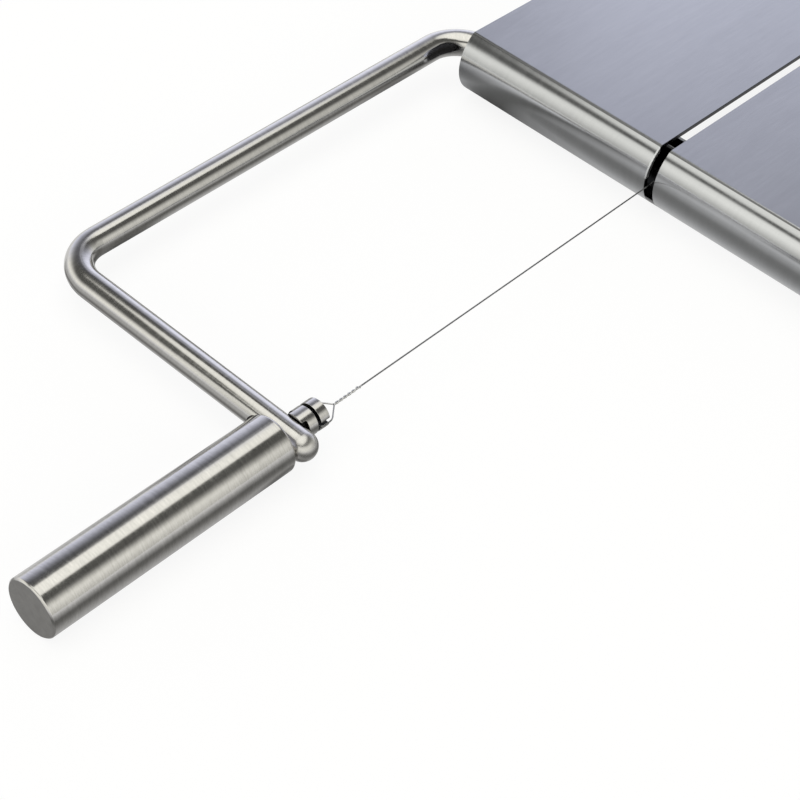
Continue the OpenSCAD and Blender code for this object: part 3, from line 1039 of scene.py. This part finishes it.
def resampled(tree, curve, count):
    """Output with a curve cut into so many points."""
    return add_node(tree, "GeometryNodeResampleCurve", {0: curve, "Count": count}).outputs[0]


def straight(tree, start, end, count):
    """Output with a straight line of so many points."""
    line = add_node(tree, "GeometryNodeCurvePrimitiveLine", {"Start": start, "End": end})
    return resampled(tree, line.outputs[0], count)


def strand(tree, given, phase, last_offset):
    """One strand of the twist, which ends at last_offset wire radii from the middle."""
    line = straight(tree, given["Twist start"], given["Twist end"], STRAND_POINTS)
    share = add_node(tree, "GeometryNodeSplineParameter").outputs["Factor"]
    angle = maths(tree, "MULTIPLY_ADD", maths(tree, "MULTIPLY", share, given["Turns"]), math.tau, phase)
    side = scaled(tree, given["Side"], maths(tree, "COSINE", angle))
    up = scaled(tree, given["Up"], maths(tree, "SINE", angle))
    offset = map_range(tree, share, SPREAD_FROM, 1.0, 1.0, last_offset)
    reach = maths(tree, "MULTIPLY", offset, given["Wire radius"])
    move = scaled(tree, vector_maths(tree, "ADD", side, up), reach)
    return add_node(tree, "GeometryNodeSetPosition", {"Geometry": line, "Offset": move}).outputs[0]


def make_wire_tree():
    """Tree: the eye's path comes in, the whole wire goes out as one mesh."""
    places = ("Twist start", "Twist end", "Run end", "Side", "Up")
    tree, given = start_tree("wire_with_twist", ("Wire radius", "Turns"), places)
    eye = add_node(tree, "GeometryNodeMeshToCurve", {0: given["Geometry"]}).outputs[0]
    round_eye = add_node(tree, "GeometryNodeCurveSplineType", {0: eye}, spline_type="CATMULL_ROM").outputs[0]
    paths = (
        strand(tree, given, 0.0, 0.0),
        strand(tree, given, math.pi, 2.0),
        straight(tree, given["Twist end"], given["Run end"], RUN_POINTS),
        resampled(tree, round_eye, EYE_STEPS),
    )
    strands = add_node(tree, "GeometryNodeJoinGeometry")
    for path in paths:
        fill(strands, {0: path})
    circle = {"Resolution": WIRE_SIDES, "Radius": given["Wire radius"]}
    section = add_node(tree, "GeometryNodeCurvePrimitiveCircle", circle).outputs["Curve"]
    curves = {"Curve": strands.outputs[0], "Profile Curve": section, "Fill Caps": True}
    tube = add_node(tree, "GeometryNodeCurveToMesh", curves).outputs[0]
    smooth = add_node(tree, "GeometryNodeSetShadeSmooth", {"Geometry": tube}).outputs[0]
    end_tree(tree, smooth, given["Material"])
    return tree


wire_tree = make_wire_tree()
print("wire tree nodes:", len(wire_tree.nodes))

# %% The wire
wire_values = {
    "Twist start": on_stud(TWIST_START, EYE_ASIDE),
    "Twist end": on_stud(TWIST_END, EYE_ASIDE),
    "Run end": on_stud(WIRE_END),
    "Side": across_arm,
    "Up": above_arm,
    "Wire radius": WIRE_R,
    "Turns": TWIST_TURNS,
    "Material": wire_steel,
}
cutting_wire = run_tree("twisted_wire", eye_path, wire_tree, wire_values)
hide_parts("cutting_wire")
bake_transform(cutting_wire, "arm", "stud", start=tuple(hinge_axis), end=tuple(on_stud(TWIST_END)))
print("wire faces:", len(cutting_wire.data.polygons))
